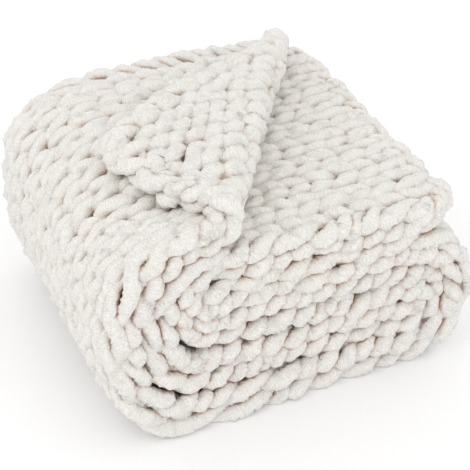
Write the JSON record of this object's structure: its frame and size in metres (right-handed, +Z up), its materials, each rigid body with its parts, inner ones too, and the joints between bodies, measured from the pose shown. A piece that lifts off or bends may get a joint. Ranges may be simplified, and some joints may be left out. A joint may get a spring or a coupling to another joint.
{
  "type": "chunky knit blanket",
  "caption": "Thick chenille throw in chunky stockinette knit, folded into a soft layered bundle with a corner of its top layer turned back.",
  "frame": {"origin": "middle of the bottom of the folded blanket, on the surface it rests on", "axes": "+Z up; +X across the section, from the closed left folds to the free end of the top layers; +Y from the front end, where the edges of the layers show, to the back end"},
  "size_m": [0.4808, 0.4068, 0.291],
  "materials": {
    "yarn": "thick off-white chenille yarn with a soft matt pile"
  },
  "bodies": {
    "root": {"blanket": "yarn"}
  },
  "joints": []
}
